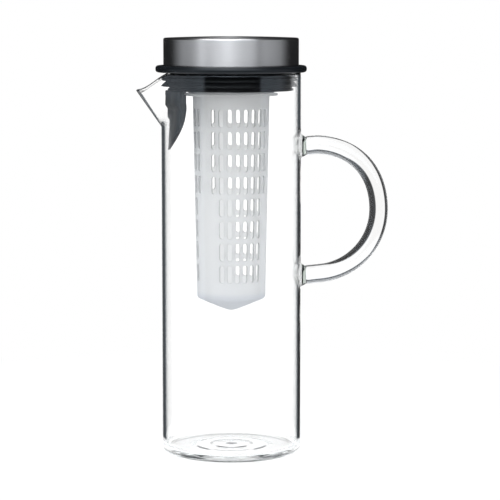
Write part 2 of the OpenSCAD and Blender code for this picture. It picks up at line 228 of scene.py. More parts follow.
four = maths(tree, "GREATER_THAN", path["Transmission Depth"], all_passes)
white = mixed(four, grey(1.0), grey(made_up))
light = mixed(seen, light, white)
shown = node(tree, "ShaderNodeBackground", {"Color": light, "Strength": 1.0})
node(tree, "ShaderNodeOutputWorld", {"Surface": shown.outputs[0]})


def area_light(name, place, aim, size, power):
    """A square area lamp at a place, turned to the point that it aims at."""
    data = bpy.data.lights.new(name, "AREA")
    data.shape = "RECTANGLE"
    data.size, data.size_y = (s * mm for s in size)
    data.energy = power
    lamp = bpy.data.objects.new(name, data)
    bpy.context.collection.objects.link(lamp)
    away = np.array(place, float) - np.array(aim, float)
    flat = math.hypot(away[0], away[1])
    lamp.rotation_euler = (math.atan2(flat, away[2]), 0.0, math.atan2(away[0], -away[1]))
    lamp.location = [v * mm for v in place]


area_light("top_lamp", lamp_place, lamp_aim, lamp_size, lamp_power)

# Floor
# A plain white sheet under the jug. The camera sees it nearly white, and it keeps a faint soft shadow. Light
# that is bent or turned by the glass passes it and sees the studio, save right under the jug.
floor_reach = 420.0
floor_glow = 0.8
shadow_reach = 150.0
under_jug = 70.0
floor_points = 96
floor_grey = (0.82, 0.82, 0.82, 1.0)

floor_mesh = bpy.data.meshes.new("floor")
corner = np.linspace(0.0, 2.0 * np.pi, floor_points, endpoint=False)
ring = np.stack([np.cos(corner), np.sin(corner), np.zeros(floor_points)], -1) * floor_reach * mm
floor_mesh.from_pydata(ring.tolist(), [], [list(range(floor_points))])
floor = bpy.data.objects.new("floor", floor_mesh)
bpy.context.collection.objects.link(floor)
material = bpy.data.materials.new("floor_white")
material.use_nodes = True
tree = material.node_tree
tree.nodes.clear()
matt = node(tree, "ShaderNodeBsdfDiffuse", {"Color": floor_grey})
glow = node(tree, "ShaderNodeEmission", {"Color": (1.0, 1.0, 1.0, 1.0), "Strength": 1.0})
path = node(tree, "ShaderNodeLightPath").outputs
seen = maths(tree, "MAXIMUM", path["Is Camera Ray"], path["Is Transmission Ray"])
place = node(tree, "ShaderNodeTexCoord").outputs["Object"]
away = node(tree, "ShaderNodeVectorMath", {0: place}, operation="LENGTH").outputs["Value"]
spread = node(tree, "ShaderNodeMapRange", {
    "Value": away, "From Min": shadow_reach * mm, "From Max": floor_reach * mm,
    "To Min": floor_glow, "To Max": 1.0}).outputs["Result"]
share = maths(tree, "MULTIPLY", seen, spread)
lit = node(tree, "ShaderNodeMixShader", {0: share, 1: matt.outputs[0], 2: glow.outputs[0]})
few = maths(tree, "LESS_THAN", path["Transmission Depth"], few_passes)
four = maths(tree, "GREATER_THAN", path["Transmission Depth"], all_passes)
tree.links.new(maths(tree, "MULTIPLY_ADD", four, made_up - 1.0, 1.0), glow.inputs["Strength"])
turned = maths(tree, "GREATER_THAN", path["Glossy Depth"], any_turn)
past = maths(tree, "MULTIPLY", path["Is Singular Ray"], maths(tree, "MAXIMUM", few, turned))
past = maths(tree, "MULTIPLY", past, maths(tree, "GREATER_THAN", away, under_jug * mm))
none = node(tree, "ShaderNodeBsdfTransparent")
lit = node(tree, "ShaderNodeMixShader", {0: past, 1: lit.outputs[0], 2: none.outputs[0]})
node(tree, "ShaderNodeOutputMaterial", {"Surface": lit.outputs[0]})
floor_mesh.materials.append(material)
floor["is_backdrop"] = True

# Glass jug
# One piece of clear borosilicate glass: a straight tube with a pressed bottom, a spout folded into its rim
# while hot, and a solid rod bent to a bow and welded to the wall at both ends.
body_r = 47.5
wall = 2.3
glass_h = 259.6
bottom_t = 4.0
foot_round = 4.0
spout_out = 16.9
spout_z = 223.0
lip_drop = 11.1
rim_turn = 41.0
fold_soft = 3.0
rod_r = 6.35
bow_r = 44.2
bow_x = 56.35
bow_z = 166.6
bow_swell = 1.3
bow_dip = 0.9
dip_from = 4.0
dip_run = 12.0
weld_r = 8.6
weld_reach = 1.7
weld_deep = -0.4
neck_dip = 0.5
neck_at = 3.3
neck_wide = 0.8
ring_outer = 25.3
ring_inner = 13.4
ring_height = 0.2
ring_width = 1.5
dot_height = 0.35
dot_width = 3.2
push_up = 0.7
push_run = 3.0
inner_foot = foot_round * 1.2

# How finely the jug and the rod are divided
spout_angle = 52.0
spout_cols = 120
far_cols = 168
wall_steps = 26
bottom_steps = 28
inner_steps = 60
round_steps = 9
stub_steps = 22
bow_steps = 120
rod_cols = 48
merge_gap = 0.002
least_edge = 0.001

# The glass's colour with a painted cool tint on its gloss, the welds' painted shade and painted clear spot,
# and the painted dark lines under the rim
glass_tint = (0.992, 0.997, 1.0, 1.0)
# A painted cool tint on the glass's reflections
glass_painted_cool_gloss = (0.8, 0.9, 1.0, 1.0)
glass_ior = 1.47
glass_shadow = (0.97, 0.98, 0.98, 1.0)
# Painted shade: a darker green tint at the welds
weld_painted_shade = (0.5, 0.62, 0.52, 1.0)
weld_clear = 0.7
weld_skin = -0.8
weld_at = 1.5
weld_fade = (0.8, 2.6)
lens_fade = (7.5, 9.5)
lens_depth = (-5.5, -3.5)
lens_squash = 0.5
painted_lines_span = 4.0
wave_scale = 22.0
wave_strength = 0.25
wave_depth = 0.12
# Painted shade: the levels of the dark lines at depths under the rim
rim_painted_lines = ((0.0, 0.3), (0.6, 0.3), (0.9, 1.0), (2.3, 1.0), (2.6, 0.4), (3.0, 0.4), (3.3, 1.0))


def quads(rows, cols, close=False):
    """Faces of a grid of points, row by row. close joins the last row to the first, as its columns are."""
    i, j = np.meshgrid(np.arange(rows if close else rows - 1), np.arange(cols), indexing="ij")
    below, above = i * cols, (i + 1) % rows * cols
    beside = (j + 1) % cols
    return np.stack([below + j, below + beside, above + beside, above + j], -1).reshape(-1, 4)


def capped(rows):
    """Rows of points with one more at each end, drawn together at its middle, so that a tube is closed."""
    first, last = (row.mean(0) + 0.0 * row[None] for row in (rows[0], rows[-1]))
    return np.concatenate([first, rows, last])


def piece(name, parts, body):
    """One smooth mesh from parts, each of points in millimetres and faces, merged where points meet."""
    points, faces, count = [], [], 0
    for part_points, part_faces in parts:
        points.append(part_points.reshape(-1, 3))
        faces.append(part_faces + count)
        count += len(points[-1])
    mesh = bpy.data.meshes.new(name)
    mesh.from_pydata((np.concatenate(points) * mm).tolist(), [], np.concatenate(faces).tolist())
    work = bmesh.new()
    work.from_mesh(mesh)
    bmesh.ops.remove_doubles(work, verts=work.verts, dist=merge_gap * mm)
    bmesh.ops.dissolve_degenerate(work, edges=work.edges, dist=least_edge * mm)
    work.to_mesh(mesh)
    work.free()
    mesh.polygons.foreach_set("use_smooth", np.ones(len(mesh.polygons), bool))
    made = bpy.data.objects.new(name, mesh)
    bpy.context.collection.objects.link(made)
    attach(made, body)
    return made


def ease(share):
    """3 s^2 - 2 s^3 between 0 and 1: a step with level ends."""
    share = np.clip(share, 0.0, 1.0)
    return share * share * (3.0 - 2.0 * share)


def plan_radius(angle, z):
    """The wall's radius at an angle from the spout, in degrees: the tangents from the spout's reach to the
    circle of the body, R / cos(wedge - angle), and the circle itself past them. The reach grows from the
    spout's foot."""
    lip_z = glass_h - lip_drop - wall / 2
    reach = body_r + spout_out * np.clip((z - spout_z) / (lip_z - spout_z), 0.0, 1.0)
    wedge = np.degrees(np.arccos(body_r / reach)) + fold_soft
    return body_r / np.cos(np.radians(np.maximum(0.0, wedge - np.hypot(angle, fold_soft))))


def rim_height(angle):
    """The rim's height at an angle from the spout: it eases down to the lip past rim_turn from the axis."""
    out = plan_radius(angle, glass_h) * np.cos(np.radians(angle))
    return glass_h - lip_drop * ease((out - rim_turn) / (body_r + spout_out - rim_turn))


def ridge_line(radius, at, high, wide):
    """A low round ring at a radius: high exp(-((r - at) / wide)^2)."""
    return high * np.exp(-((radius - at) / wide) ** 2)


# Closer columns round the spout, on the -X side, and even ones behind
near = np.linspace(-spout_angle, spout_angle, spout_cols, endpoint=False)
angles = np.concatenate([near, np.linspace(spout_angle, 360.0 - spout_angle, far_cols, endpoint=False)])
angles = np.where(angles > 180.0, angles - 360.0, angles)
cols = len(angles)
inner_share = (body_r - wall) / body_r

# The profile in (share of the outline, z): underside, foot, wall, rim, wall again and inner bottom
quarter = np.radians(np.linspace(0.0, 90.0, round_steps))
under = np.linspace(0.0, 1.0, bottom_steps) * (body_r - foot_round)
under_z = push_up * (1.0 - ease((under - ring_outer) / push_run))
foot_r = body_r - foot_round * (1.0 - np.sin(quarter[1:]))
foot_z = foot_round * (1.0 - np.cos(quarter[1:]))
top_r = body_r - wall - inner_foot * (1.0 - np.sin(quarter[::-1]))
top_z = bottom_t + inner_foot * (1.0 - np.cos(quarter[::-1]))
floor_in = np.linspace(1.0, 0.0, inner_steps)[1:] * (body_r - wall - inner_foot)
floor_z = bottom_t - ridge_line(floor_in, ring_outer, ring_height, ring_width) \
    - ridge_line(floor_in, ring_inner, ring_height, ring_width) \
    - ridge_line(floor_in, 0.0, dot_height, dot_width)


def flat_rows(radius, z):
    """Rows of points round the jug at given radii and heights."""
    share = radius[:, None] / body_r
    around = np.radians(angles)[None, :]
    r = share * plan_radius(angles[None, :], z[:, None])
    return np.stack([-r * np.cos(around), -r * np.sin(around), np.broadcast_to(z[:, None], r.shape)], -1)


def wall_rows(share, steps, drop):
    """Rows of points up the wall, from the spout's foot to the rim, which falls to the lip."""
    top = rim_height(angles)[None, :] - drop[:, None]
    z = spout_z + steps[:, None] * (top - spout_z)
    around = np.radians(angles)[None, :]
    r = share[:, None] * plan_radius(angles[None, :], z)
    return np.stack([-r * np.cos(around), -r * np.sin(around), z], -1)


steps = np.linspace(0.0, 1.0, wall_steps)
half_round = np.radians(np.linspace(0.0, 180.0, round_steps + 2))[1:-1]
jug_rows = np.concatenate([
    flat_rows(under, under_z),
    flat_rows(foot_r, foot_z),
    wall_rows(np.ones(wall_steps), steps, np.full(wall_steps, wall / 2)),
    wall_rows(1.0 - (1.0 - inner_share) * (1.0 - np.cos(half_round)) / 2, np.ones(round_steps),
              wall / 2 * (1.0 - np.sin(half_round))),
    wall_rows(np.full(wall_steps, inner_share), steps[::-1], np.full(wall_steps, wall / 2)),
    flat_rows(top_r, top_z),
    flat_rows(floor_in, floor_z)])

# The rod's path: a half circle with short stubs to the wall, carried as a tube that flares at the welds
start_x = body_r - wall / 2
stub = start_x + (bow_x - start_x) * np.linspace(0.0, 1.0, stub_steps)[:-1]
bend = np.radians(np.linspace(90.0, -90.0, bow_steps))
bend_r = bow_r + np.where(bend > 0, bow_swell * np.sin(2 * bend) ** 2, 0.0)
path_x = np.concatenate([stub, bow_x + bend_r * np.cos(bend), stub[::-1]])
path_z = np.concatenate([0.0 * stub + bow_z + bow_r, bow_z + bend_r * np.sin(bend),
                         0.0 * stub + bow_z - bow_r])
path_z = path_z - bow_dip * ease((bow_x + dip_from - path_x) / dip_run)
from_wall = path_x - body_r
rod_radius = rod_r + (weld_r - rod_r) * np.exp(-np.maximum(from_wall, weld_deep) / weld_reach) \
    - neck_dip * np.exp(-((from_wall - neck_at) / neck_wide) ** 2)
slope_x, slope_z = np.gradient(path_x), np.gradient(path_z)
slope = np.hypot(slope_x, slope_z)
side_x, side_z = -slope_z / slope, slope_x / slope
round_rod = np.linspace(0.0, 2.0 * np.pi, rod_cols, endpoint=False)
rod_rows = np.stack([
    path_x[:, None] + rod_radius[:, None] * np.cos(round_rod) * side_x[:, None],
    rod_radius[:, None] * np.sin(round_rod) + 0.0 * path_x[:, None],
    path_z[:, None] + rod_radius[:, None] * np.cos(round_rod) * side_z[:, None]], -1)
rod_rows = capped(rod_rows)

glass_jug = piece("glass_jug", [(jug_rows, quads(len(jug_rows), cols))], "jug")
rod = piece("glass_rod", [(rod_rows, quads(len(rod_rows), rod_cols))], "jug")
for made in (glass_jug, rod):
    work = bmesh.new()
    work.from_mesh(made.data)
    bmesh.ops.recalc_face_normals(work, faces=work.faces)
    work.to_mesh(made.data)
    work.free()
join = glass_jug.modifiers.new("weld", "BOOLEAN")
join.operation = "UNION"
join.solver = "EXACT"
join.object = rod
whole = bpy.data.meshes.new_from_object(glass_jug.evaluated_get(bpy.context.evaluated_depsgraph_get()))
glass_jug.modifiers.clear()
glass_jug.data = whole
whole.polygons.foreach_set("use_smooth", np.ones(len(whole.polygons), bool))
bpy.data.objects.remove(rod)
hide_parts("glass_body", "glass_handle")


def surface(name, colour, roughness, **sockets):
    """A material with one Principled shader, its plain values on its own sockets."""
    made = bpy.data.materials.new(name)
    made.use_nodes = True
    tree = made.node_tree
    tree.nodes.clear()
    values = {"Base Color": (*colour[:3], 1.0), "Roughness": roughness}
    values.update({key.replace("_", " "): value for key, value in sockets.items()})
    shader = node(tree, "ShaderNodeBsdfPrincipled", values)
    out = node(tree, "ShaderNodeOutputMaterial", {"Surface": shader.outputs[0]})
    return made, tree, shader, out


def bump(tree, shader, height, strength, depth):
    """A bump of the given depth in millimetres on a shader, from a height between 0 and 1."""
    made = node(tree, "ShaderNodeBump", {"Height": height, "Strength": strength, "Distance": depth * mm})
    tree.links.new(made.outputs[0], shader.inputs["Normal"])


def stepped(tree, value, span, low=0.0, high=1.0):
    """A smooth step from low to high of a value in metres, over a span in millimetres."""
    made = node(tree, "ShaderNodeMapRange", {"Value": value, "To Min": low, "To Max": high,
                                             "From Min": span[0] * mm, "From Max": span[1] * mm},
                interpolation_type="SMOOTHSTEP")
    return made.outputs["Result"]


def object_place(tree):
    """A point's place in the piece's own frame, and its three parts."""
    place = node(tree, "ShaderNodeTexCoord").outputs["Object"]
    return place, node(tree, "ShaderNodeSeparateXYZ", {0: place}).outputs


def length(tree, *parts):
    """The length of a vector of two or three parts."""
    joined = node(tree, "ShaderNodeCombineXYZ", dict(enumerate(parts))).outputs[0]
    return node(tree, "ShaderNodeVectorMath", {0: joined}, operation="LENGTH").outputs["Value"]


clear_glass, tree, shader, out = surface("clear_glass", glass_tint, 0.0, Transmission_Weight=1.0,
                                         IOR=glass_ior, Specular_Tint=glass_painted_cool_gloss)
place, at = object_place(tree)

# The welds: a darker green tint painted by the gap from the wall, as painted shade, and a painted clear spot
# behind each rod's end, where the white behind shows straight through as painted light
level = maths(tree, "ABSOLUTE", maths(tree, "SUBTRACT", at[2], bow_z * mm))
off = maths(tree, "SUBTRACT", level, bow_r * mm)
gap = maths(tree, "SUBTRACT", at[0], (body_r + weld_at) * mm)
near_weld = length(tree, gap, maths(tree, "MULTIPLY", at[1], lens_squash), off)
outward = maths(tree, "GREATER_THAN", gap, weld_skin * mm)
weld_shade_share = maths(tree, "MULTIPLY", stepped(tree, gap, weld_fade, 1.0, 0.0), outward)
tint_and_painted_shade = mixed(weld_shade_share, glass_tint, weld_painted_shade)
lens = stepped(tree, near_weld, lens_fade, weld_clear, 0.0)
inward = maths(tree, "LESS_THAN", gap, weld_skin * mm)
lens = maths(tree, "MULTIPLY", lens, maths(tree, "MULTIPLY", stepped(tree, gap, lens_depth), inward))

# Painted shade: two dark lines painted under the rim, by the depth under it, in place of the glass's dark
# edges there
rim_z = stepped(tree, at[0], (-rim_turn, -body_r - spout_out), glass_h * mm, (glass_h - lip_drop) * mm)
under_rim = maths(tree, "MULTIPLY", maths(tree, "SUBTRACT", rim_z, at[2]), 1.0 / (painted_lines_span * mm))
painted_rim_lines = ramp(tree, under_rim, [(depth / painted_lines_span, level) for depth, level in rim_painted_lines])
tint_and_painted_shade = node(tree, "ShaderNodeVectorMath", {0: tint_and_painted_shade, 1: painted_rim_lines}, operation="MULTIPLY").outputs[0]
tree.links.new(tint_and_painted_shade, shader.inputs["Base Color"])

waves = node(tree, "ShaderNodeTexNoise", {"Vector": place, "Scale": wave_scale, "Detail": 1.0})
bump(tree, shader, waves.outputs[0], wave_strength, wave_depth)
path = node(tree, "ShaderNodeLightPath").outputs
lets_by = node(tree, "ShaderNodeBsdfTransparent", {"Color": glass_shadow}).outputs[0]
fused = node(tree, "ShaderNodeBsdfTransparent", {"Color": glass_tint}).outputs[0]
# Painted light: behind each rod's end the wall lets the white behind show straight through
shown = node(tree, "ShaderNodeMixShader", {0: lens, 1: shader.outputs[0], 2: fused}).outputs[0]
for ray in ("Is Shadow Ray", "Is Diffuse Ray"):
    shown = node(tree, "ShaderNodeMixShader", {0: path[ray], 1: shown, 2: lets_by}).outputs[0]
tree.links.new(shown, out.inputs["Surface"])
whole.materials.clear()
whole.materials.append(clear_glass)

# Steel cap
# A drawn cap of stainless steel, brushed round its side and across its top, with a small rolled edge. It is
# pressed over the collar's drum.
cap_r = 45.9
cap_low = 264.6
cap_top = 283.1
cap_dome = 0.9
cap_edge = 1.2
cap_t = 0.8
cap_cols = 240
dome_steps = 14
edge_steps = 9
foot_steps = 5
steel = (0.62, 0.62, 0.625)
steel_rough = 0.32
brush_tones = ((0.25, (0.57, 0.57, 0.575)), (0.75, (0.67, 0.67, 0.675)))
brush_rough = ((0.2, 0.27), (0.8, 0.38))
brush_round = 6.0
brush_across = 9000.0
brush_strength = 0.3
brush_depth = 0.02

# Cuts of the small rounds on the metal and on the moulded pieces
tight, slight, small, fair, broad = 0.1, 0.2, 0.3, 0.4, 0.5


def soften(corners, steps=5):
    """A closed outline in (r, z, cut) with each corner C turned to the curve (1-t)^2 A + 2t(1-t) C + t^2 B,
    where A and B lie cut away from C along its two sides."""
    corners = np.array(corners, float)
    middle, cut = corners[:, :2], corners[:, 2:3]
    before, after = np.roll(middle, 1, 0) - middle, np.roll(middle, -1, 0) - middle
    first = middle + before / np.linalg.norm(before, axis=1, keepdims=True) * cut
    last = middle + after / np.linalg.norm(after, axis=1, keepdims=True) * cut
    t = np.linspace(0.0, 1.0, steps)[None, :, None]
    curve = (1 - t) ** 2 * first[:, None] + 2 * t * (1 - t) * middle[:, None] + t ** 2 * last[:, None]
    return curve.reshape(-1, 2)


def revolve(outline, count=180):
    """Points and faces of a closed outline in (r, z), counter-clockwise, turned round the axis."""
    around = np.linspace(0.0, 2.0 * np.pi, count, endpoint=False)
    r, z = outline[:, :1], outline[:, 1:]
    points = np.stack([r * np.cos(around), r * np.sin(around), np.broadcast_to(z, (len(outline), count))], -1)
    return points, quads(len(outline), count, close=True)


def flatten_light(made):
    """Keeps broad faces flat in the light and the small rounds soft, by weighting normals by area."""
    made.modifiers.new("broad faces", "WEIGHTED_NORMAL").keep_sharp = False


dome_r = ((cap_r - cap_edge) ** 2 + cap_dome ** 2) / (2 * cap_dome)
dome_x = np.linspace(cap_r - cap_edge, 0.0, dome_steps)
edge = np.radians(np.linspace(0.0, 90.0, edge_steps))[:-1]
dome = np.stack([dome_x, cap_top + cap_dome - dome_r + np.sqrt(dome_r ** 2 - dome_x ** 2)], -1)
rolled = [cap_r - cap_edge, cap_top - cap_edge] + cap_edge * np.stack([np.cos(edge), np.sin(edge)], -1)
cap_inner = rolled[::-1] - [cap_t, cap_t]
foot = soften([(cap_r - cap_t, cap_low, slight), (cap_r, cap_low, small), (cap_r, cap_top - cap_edge, 0)],
              foot_steps)[:-foot_steps]
outline = np.concatenate([foot, rolled, dome, dome[::-1] - [0.0, cap_t], cap_inner])
steel_cap = piece("steel_cap_shell", [revolve(outline, cap_cols)], "lid")
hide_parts("steel_cap")
flatten_light(steel_cap)

brushed_steel, tree, shader, out = surface("brushed_steel", steel, steel_rough, Metallic=1.0,
                                           Anisotropic=0.8, Anisotropic_Rotation=0.25)
at = object_place(tree)[1]
fine = node(tree, "ShaderNodeCombineXYZ", {
    0: maths(tree, "MULTIPLY", maths(tree, "ARCTAN2", at[1], at[0]), brush_round),
    1: maths(tree, "MULTIPLY", at[2], brush_across),
    2: maths(tree, "MULTIPLY", length(tree, at[0], at[1]), brush_across)}).outputs[0]
lines = node(tree, "ShaderNodeTexNoise", {
    "Vector": fine, "Scale": 1.0, "Detail": 4.0, "Roughness": 0.7}).outputs[0]
tree.links.new(ramp(tree, lines, brush_tones), shader.inputs["Base Color"])
tree.links.new(ramp(tree, lines, brush_rough), shader.inputs["Roughness"])
round_it = node(tree, "ShaderNodeTangent", direction_type="RADIAL", axis="Z")
tree.links.new(round_it.outputs[0], shader.inputs["Tangent"])
bump(tree, shader, lines, brush_strength, brush_depth)
steel_cap.data.materials.append(brushed_steel)

# Collar
# A ring moulded in black plastic with a fully rounded edge. Its drum stands up inside the steel cap, and the
# plug clips through its middle.
collar_z = 259.9
collar_t = 4.6
collar_r = 51.3
hole_r = 37.2
drum_r = 45.0
drum_top = 281.1
drum_t = 2.4
brim_round = 2.2
collar_steps = 9

# How a moulded skin drifts in colour and gloss, how strong its grain is, and the painted cool tint of its
# gloss
drift_scale = 60.0
drift_shares = (0.88, 1.12)
rough_shares = (0.9, 1.1)
drift_at = (0.3, 0.7)
grain_strength = 0.4
# A painted cool tint on the plastics' reflections, bluer than the lamps make them
painted_cool_gloss = (0.87, 0.94, 1.0, 1.0)

collar_top = collar_z + collar_t
outline = soften([(hole_r, collar_z, small), (collar_r, collar_z, brim_round),
                  (collar_r, collar_top, brim_round), (drum_r, collar_top, slight),
                  (drum_r, drum_top, small), (0, drum_top, 0), (0, drum_top - drum_t, 0),
                  (drum_r - drum_t, drum_top - drum_t, small), (drum_r - drum_t, collar_top, small),
                  (hole_r, collar_top, small)], collar_steps)
lid_ring = piece("lid_ring", [revolve(outline)], "lid")
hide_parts("lid_collar")
flatten_light(lid_ring)


def moulded(name, colour, roughness, grain, depth, **sockets):
    """A moulded plastic or rubber: a plain colour that drifts a little, with a fine grain in its skin."""
    made, tree, shader, out = surface(name, colour, roughness, **sockets)
    place = node(tree, "ShaderNodeTexCoord").outputs["Object"]
    skin = node(tree, "ShaderNodeTexNoise", {"Vector": place, "Scale": grain, "Detail": 3.0}).outputs[0]
    drift = node(tree, "ShaderNodeTexNoise", {
        "Vector": place, "Scale": drift_scale, "Detail": 2.0}).outputs[0]
    tones = [tuple(part * share for part in colour) for share in drift_shares]
    glosses = [roughness * share for share in rough_shares]
    tree.links.new(ramp(tree, drift, list(zip(drift_at, tones))), shader.inputs["Base Color"])
    tree.links.new(ramp(tree, skin, list(zip(drift_at, glosses))), shader.inputs["Roughness"])
    bump(tree, shader, skin, grain_strength, depth)
    return made, tree, shader, out


black_plastic = moulded("black_plastic", (0.007, 0.0085, 0.0105), roughness=0.3, grain=2500.0, depth=0.01,
                        Specular_IOR_Level=0.33, Specular_Tint=painted_cool_gloss)[0]
lid_ring.data.materials.append(black_plastic)

# Plug
# A dark grey cup that reaches into the neck. A lip holds the seal at its lower edge, a bead clips it into the
# collar, and a socket with a coarse thread in its middle takes the infuser's neck.
plug_low = 247.7
plug_r = 39.5
plug_lip_r = 42.2
plug_lip_h = 1.3
plug_t = 2.4
plug_top = 266.9
neck_low = 259.8
clip_r = 37.1
clip_low = 264.6
clip_mid = 264.7
clip_out = 0.8
cup_r = 34.7
cup_low = 257.4
socket_r = 26.0
socket_top = 257.0
thread_lead = 4.0
thread_turns = 1.25
thread_out = 1.1
thread_half = 0.8
thread_slant = 0.4
thread_sink = 0.3
thread_ends = 0.1
thread_least = 0.08
thread_rows = 91
nut_z = 248.69


def thread(root, out, low):
    """A right-hand ridge round the axis, out from its root: a four-cornered section, carried up its lead for
    its turns, with its height running out at both ends. A negative out makes the ridge of a nut."""
    share = np.linspace(0.0, 1.0, thread_rows)[:, None]
    run = np.clip(np.minimum(share, 1.0 - share) / thread_ends, thread_least, 1.0)
    crest = root + out * run
    inside = root - np.sign(out) * thread_sink + 0.0 * crest
    turn = 2.0 * np.pi * thread_turns * share
    z = low + thread_lead * thread_turns * share
    r = np.concatenate([inside, crest, crest, inside], 1)
    slant = thread_half - thread_slant * run
    rise = np.concatenate([z - thread_half, z - slant, z + slant, z + thread_half], 1)
    points = np.stack([r * np.cos(turn), r * np.sin(turn), rise], -1)
    last = 4 * (thread_rows - 1)
    caps = np.array([[0, 1, 2, 3], [last, last + 3, last + 2, last + 1]])
    faces = np.concatenate([quads(thread_rows, 4), caps])
    return points, faces if out < 0 else faces[:, ::-1]


low, lip_top, floor_top = plug_low, plug_low + plug_lip_h, plug_low + plug_t
boss_r, boss_top = socket_r + plug_t, socket_top + plug_t
outline = soften([(socket_r, low, fair), (plug_lip_r, low, fair), (plug_lip_r, lip_top, small),
                  (plug_r, lip_top, tight), (plug_r, neck_low, slight), (clip_r, neck_low, tight),
                  (clip_r, clip_low, tight), (clip_r + clip_out, clip_mid, tight), (clip_r, plug_top, tight),
                  (cup_r, plug_top, slight), (cup_r, cup_low, slight), (clip_r, cup_low, slight),
                  (clip_r, floor_top, small), (boss_r, floor_top, small), (boss_r, boss_top, small),
                  (0, boss_top, 0), (0, socket_top, 0), (socket_r, socket_top, small)])
plug = piece("plug_cup", [revolve(outline), thread(socket_r, -thread_out, nut_z)], "lid")
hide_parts("plug_core")
flatten_light(plug)
grey_plastic = moulded("grey_plastic", (0.004, 0.0042, 0.0045), roughness=0.4, grain=2200.0, depth=0.012,
                       Specular_IOR_Level=0.18, Specular_Tint=painted_cool_gloss)[0]
plug.data.materials.append(grey_plastic)

# Seal
# A soft grey silicone sleeve on the plug, with two thin skirts that droop and bend against the bore. In the
# gap of the spout nothing bends them, so there they stand out further.
seal_in = 39.6
seal_out = 41.2
seal_low = 249.1
seal_top = 259.7
fin_bent = 44.9
fin_droop = 4.2
fin_root_t = 1.5
fin_tip_t = 0.8
fin_sink = 0.3
fin_curve = 1.15
fin_round_at = 0.9
fin_least = 0.02
spout_half_angle = 42.5
fin_steps = 8
fin_cols = 240

# The height of each skirt's root and its reach where it is free
fins = ((258.7, 45.9), (254.9, 46.7))


def skirt(root_z, free_reach):
    """One skirt: its section runs from the sleeve to a round tip, at the reach that each angle leaves it."""
    around = np.radians(np.linspace(0.0, 360.0, fin_cols, endpoint=False))
    from_spout = np.degrees(np.abs(np.angle(np.exp(1j * (around - np.pi)))))
    gap = fin_bent / np.cos(np.radians(np.maximum(0.0, spout_half_angle - from_spout)))
    reach = np.minimum(free_reach, gap)[None, :]
    share = np.linspace(0.0, 1.0, fin_steps)
    out = np.concatenate([share, share[::-1]])[:, None]
    under = np.repeat([-1.0, 1.0], fin_steps)[:, None]
    half = (fin_root_t + (fin_tip_t - fin_root_t) * out) / 2
    past = np.clip((out - fin_round_at) / (1.0 - fin_round_at), 0.0, 1.0)
    tip = np.sqrt(np.clip(1.0 - past ** 2, fin_least, 1.0))
    start = seal_out - fin_sink
    r = start + (reach - start) * out
    z = root_z - fin_droop * out ** fin_curve + under * half * tip
    points = np.stack([r * np.cos(around), r * np.sin(around), z + 0.0 * r], -1)
    return points, quads(2 * fin_steps, fin_cols, close=True)


sleeve = soften([(seal_in, seal_low, slight), (seal_out, seal_low, small), (seal_out, seal_top, small),
                 (seal_in, seal_top, slight)])
seal = piece("seal_sleeve", [revolve(sleeve)] + [skirt(*fin) for fin in fins], "seal")
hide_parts("silicone_seal")
grey_silicone = moulded("grey_silicone", (0.003, 0.0033, 0.0037), roughness=0.45, grain=1500.0, depth=0.01,
                        Specular_IOR_Level=0.18, Specular_Tint=painted_cool_gloss)[0]
seal.data.materials.append(grey_silicone)

# Spout shield
# A curved tongue in grey plastic that hangs from the plug behind the spout and holds ice and fruit back. Its
# upper part is thicker, and it narrows to a round tip.
shield_r = 42.6
shield_t = 2.2
shield_tip = 207.3
shield_half = 29.0
shield_lean = 0.9
shield_thin = 0.45
pad_out = 1.7
pad_low = 238.4
pad_ease = 3.8
plate_top = 247.6
tip_out = 0.4
tip_run = 20.0
tip_least = 0.02
shield_rows = 40
shield_cols = 64

# The section is a rounded box: the powers of its cosine across and of its sine through the thickness
flat_power = 0.12
round_power = 0.6


def bulged(wave, power):
    """A wave with its size raised to a power and its sign kept."""
    return np.sign(wave) * np.abs(wave) ** power


lift = np.concatenate([np.radians(np.linspace(90.0, 0.0, shield_rows)), np.zeros(shield_rows)])[:, None]
rise = shield_half * (1.0 - np.sin(lift))
straight = np.linspace(0.0, 1.0, shield_rows + 1)[1:]
rise[shield_rows:, 0] = shield_half + (plate_top - shield_tip - shield_half) * straight
z = shield_tip + rise
half = np.maximum(shield_half * np.cos(lift), tip_least)
pad = pad_out * ease((z - pad_low + pad_ease) / pad_ease)
loop = np.linspace(0.0, 2.0 * np.pi, shield_cols, endpoint=False)[None, :]
risen = ease((z - shield_tip) / tip_run)
thick = shield_t * (shield_thin + (1.0 - shield_thin) * risen) + pad
outside = shield_r + tip_out - shield_lean * risen + pad
around = np.pi + half * bulged(np.cos(loop), flat_power) / shield_r
r = outside - thick / 2 + thick / 2 * bulged(np.sin(loop), round_power)
points = np.stack([r * np.cos(around), r * np.sin(around), z + 0.0 * r], -1)
points = capped(points)
shield = piece("shield_tongue", [(points, quads(len(points), shield_cols)[:, ::-1])], "lid")
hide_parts("spout_shield")
shield_grey = moulded("shield_grey", (0.008, 0.01, 0.0115), roughness=0.45, grain=1800.0, depth=0.015,
                      Specular_IOR_Level=0.6, Specular_Tint=painted_cool_gloss)[0]
shield.data.materials.append(shield_grey)

# Gasket
# A pale silicone ring that lies on the infuser's flange, round its neck, and is pressed against the plug.
gasket_r = 29.0
gasket_low = 245.85
gasket_top = 247.55
gasket_round = 0.6
gasket_steps = 7

outline = soften([(socket_r, gasket_low, small), (gasket_r, gasket_low, gasket_round),
                  (gasket_r, gasket_top, gasket_round), (socket_r, gasket_top, small)], gasket_steps)
gasket = piece("gasket_ring", [revolve(outline)], "gasket")
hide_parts("infuser_gasket")
pale_silicone = moulded("pale_silicone", (0.62, 0.63, 0.65), roughness=0.5, grain=1500.0, depth=0.01)[0]
gasket.data.materials.append(pale_silicone)

